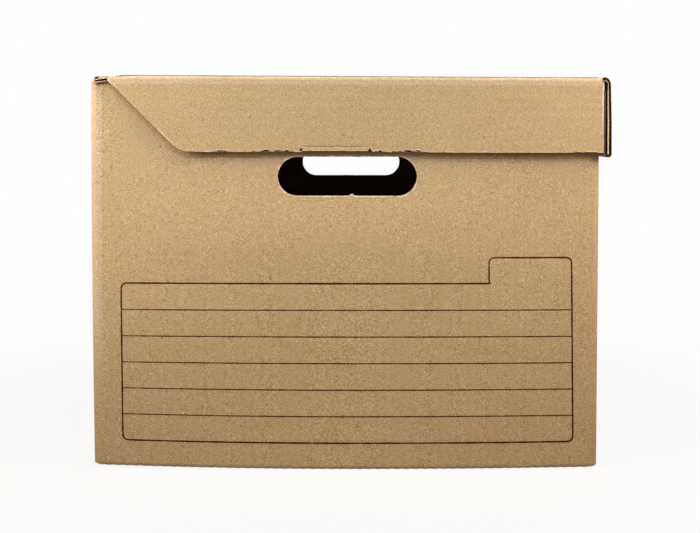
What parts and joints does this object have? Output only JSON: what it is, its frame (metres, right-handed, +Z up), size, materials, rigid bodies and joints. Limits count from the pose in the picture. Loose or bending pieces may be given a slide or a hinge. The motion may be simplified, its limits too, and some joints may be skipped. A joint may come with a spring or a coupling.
{
  "type": "archival box",
  "caption": "Corrugated board storage box with a hinged lid, a roll-over double flap, self-locking floor flaps and a hand hole in each end.",
  "frame": {"origin": "under the middle of the closed box, in the plane that the box stands on", "axes": "+X from the lid's hinge side to its opening side, -Y out of the ruled front end panel, +Z up"},
  "size_m": [0.3474, 0.4358, 0.2645],
  "materials": {
    "kraft_board": "matte",
    "kraft_crease": "matte",
    "flute_paper": "matte",
    "printing_ink": "matte"
  },
  "bodies": {
    "carton": {"front_end_panel": "kraft_board", "back_end_panel": "kraft_board", "hinge_side_wall": "kraft_board", "opening_side_wall": "kraft_board", "front_hinge_corner": "kraft_crease", "front_opening_corner": "kraft_crease", "back_hinge_corner": "kraft_crease", "glue_tab": "kraft_board", "front_bottom_flap": "kraft_board", "back_bottom_flap": "kraft_board", "front_glued_corner": "kraft_crease", "back_glued_corner": "kraft_crease", "hinge_side_floor_flap": "kraft_board", "opening_side_floor_flap": "kraft_board", "lid_hinge_crease": "kraft_crease"},
    "lid": {"lid_top": "kraft_board", "lid_front_skirt": "kraft_board", "lid_back_skirt": "kraft_board", "lid_front_corner_tab": "kraft_board", "lid_back_corner_tab": "kraft_board", "lid_opening_flap": "kraft_board", "lid_flap_turn": "kraft_crease", "lid_flap_inner_ply": "kraft_board"}
  },
  "joints": [
    {"name": "lid_hinge", "type": "hinge", "parent": "carton", "child": "lid", "pos_m": [-0.17375, 0, 0.2645], "axis": [0, -1, 0], "range_deg": [0, 225], "deforming": ["lid_hinge_crease"]}
  ]
}
